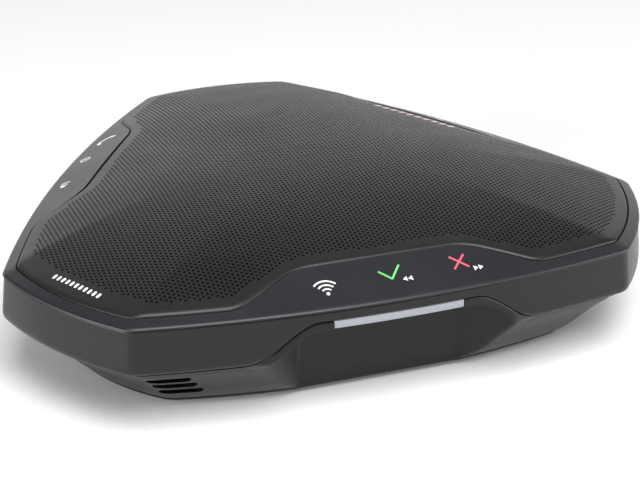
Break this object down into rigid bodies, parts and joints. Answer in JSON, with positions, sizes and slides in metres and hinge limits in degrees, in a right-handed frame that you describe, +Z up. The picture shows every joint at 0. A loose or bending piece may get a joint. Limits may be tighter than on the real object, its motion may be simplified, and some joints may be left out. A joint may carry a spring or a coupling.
{
  "type": "conference speakerphone",
  "caption": "Low six-sided conference speakerphone with a domed perforated grille, sloped touch panels, lit lips over finger pockets and a tapered base.",
  "frame": {"origin": "on the three-fold axis of the plan, at the face of the rubber foot ring that rests on the table", "axes": "+Z up; -Y out of the front long side; +X along the front long side to the right"},
  "size_m": [0.2276, 0.209, 0.0552],
  "materials": {
    "frame_plastic": "fine matte",
    "band_plastic": "satin",
    "case_plastic": "satin",
    "grille_metal": "fine matte coat",
    "cloth": "thin woven acoustic cloth",
    "light_bar": "frosted",
    "inner_plastic": "moulded",
    "circuit_board": "solder resist",
    "component": "epoxy",
    "steel": "zinc plated",
    "magnet": "sintered ferrite",
    "coil": "wound wire",
    "cone": "pressed paper",
    "rubber": "matte",
    "battery": "shrink film",
    "button": "satin"
  },
  "bodies": {
    "housing": {"battery_contacts": "steel", "battery_door": "case_plastic", "battery_door_screw": "steel", "battery_pack": "battery", "board_screws": "steel", "case_screws": "steel", "coil_spider": "cone", "cone_surround": "rubber", "dust_cloth": "cloth", "foot_ring": "rubber", "inner_deck": "inner_plastic", "led_board_front": "circuit_board", "led_board_left": "circuit_board", "led_board_right": "circuit_board", "light_bar_front": "light_bar", "light_bar_left": "light_bar", "light_bar_right": "light_bar", "lower_case": "case_plastic", "main_board": "circuit_board", "mic_board_front": "circuit_board", "mic_board_left": "circuit_board", "mic_board_right": "circuit_board", "mic_capsule_front": "steel", "mic_capsule_left": "steel", "mic_capsule_right": "steel", "port_board": "circuit_board", "port_plate": "band_plastic", "power_switch": "component", "processor_shield": "steel", "radio_module": "component", "rear_chamber": "inner_plastic", "side_band": "band_plastic", "speaker_basket": "steel", "speaker_gasket": "rubber", "speaker_grille": "grille_metal", "speaker_magnet": "magnet", "speaker_screws": "steel", "speaker_top_plate": "steel", "speaker_yoke": "steel", "top_bezel": "frame_plastic", "touch_board_front": "circuit_board", "touch_board_left": "circuit_board", "touch_board_right": "circuit_board", "usb_socket": "steel"},
    "driver": {"voice_coil": "coil", "speaker_cone": "cone", "dust_cap": "cone"},
    "power_key": {"power_button": "button", "switch_plunger": "component"}
  },
  "joints": [
    {"name": "cone_travel", "type": "slide", "parent": "housing", "child": "driver", "axis": [0, 0, 1], "range_m": [-0.0015, 0.0015], "stiffness_N_per_m": 1500, "deforming": ["cone_surround", "coil_spider"]},
    {"name": "power_press", "type": "slide", "parent": "housing", "child": "power_key", "axis": [0.866, -0.5, 0], "range_m": [0, 0.0005], "stiffness_N_per_m": 1200}
  ]
}
